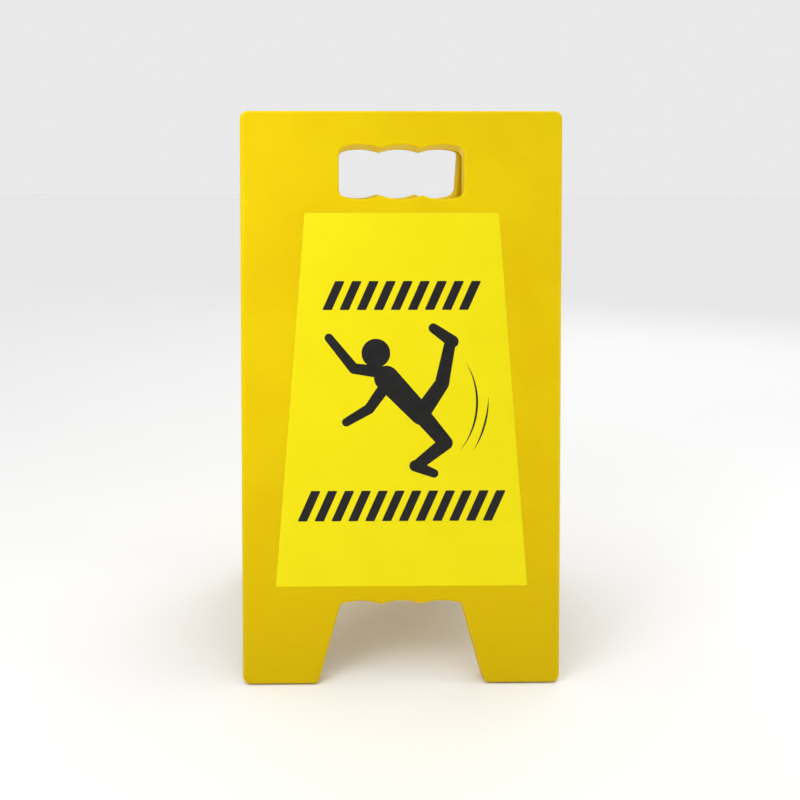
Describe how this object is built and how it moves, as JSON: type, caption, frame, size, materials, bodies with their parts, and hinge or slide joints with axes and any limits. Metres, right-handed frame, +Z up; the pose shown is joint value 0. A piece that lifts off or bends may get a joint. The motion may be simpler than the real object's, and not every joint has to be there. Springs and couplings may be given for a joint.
{
  "type": "wet floor sign",
  "caption": "Folding A-frame floor sign: scalloped hand hole, cut-out feet and a label on each leaf, with hinged ribbed leaves and sliding stays.",
  "frame": {"origin": "on the floor under the middle of the standing sign", "axes": "+X across the sign's width, -Y out of the front leaf, +Z up"},
  "size_m": [0.336, 0.299, 0.5868],
  "materials": {
    "leaf_plastic": "semi-gloss moulded polypropylene, fine grain",
    "label_film": "satin self-adhesive vinyl",
    "print_ink": "satin screen-printed ink",
    "plated_steel": "bright zinc plate",
    "spring_steel": "dark phosphated steel",
    "nylon": "natural nylon",
    "rubber": "matte moulded rubber"
  },
  "bodies": {
    "front": {"front_panel": "leaf_plastic", "front_label": "label_film", "hinge_pin_left": "plated_steel", "hinge_pin_right": "plated_steel", "hinge_retainer_left": "spring_steel", "hinge_retainer_right": "spring_steel", "stay_track_left": "plated_steel", "stay_track_right": "plated_steel", "track_screws_left": "spring_steel", "track_screws_right": "spring_steel", "foot_pad_front_left": "rubber", "foot_pad_front_right": "rubber"},
    "rear": {"rear_panel": "leaf_plastic", "rear_label": "label_film", "stay_rivet_left": "plated_steel", "stay_rivet_right": "plated_steel", "stay_washer_left": "nylon", "stay_washer_right": "nylon", "foot_pad_rear_left": "rubber", "foot_pad_rear_right": "rubber"},
    "left_stay": {"stay_left": "plated_steel", "slider_pin_left": "plated_steel"},
    "right_stay": {"stay_right": "plated_steel", "slider_pin_right": "plated_steel"}
  },
  "joints": [
    {"name": "fold", "type": "hinge", "parent": "front", "child": "rear", "pos_m": [0, 0, 0.57219], "axis": [-1, 0, 0], "range_deg": [0, 25]},
    {"name": "left_stay_swing", "type": "hinge", "parent": "rear", "child": "left_stay", "pos_m": [-0.1519, 0.03247, 0.42574], "axis": [1, 0, 0], "range_deg": [0, 43.48]},
    {"name": "right_stay_swing", "type": "hinge", "parent": "rear", "child": "right_stay", "pos_m": [0.1519, 0.03247, 0.42574], "axis": [1, 0, 0], "range_deg": [0, 43.48]}
  ],
  "couplings": [
    {"joint": "left_stay_swing", "follows": "fold", "ratio": 1.7392},
    {"joint": "right_stay_swing", "follows": "fold", "ratio": 1.7392}
  ]
}
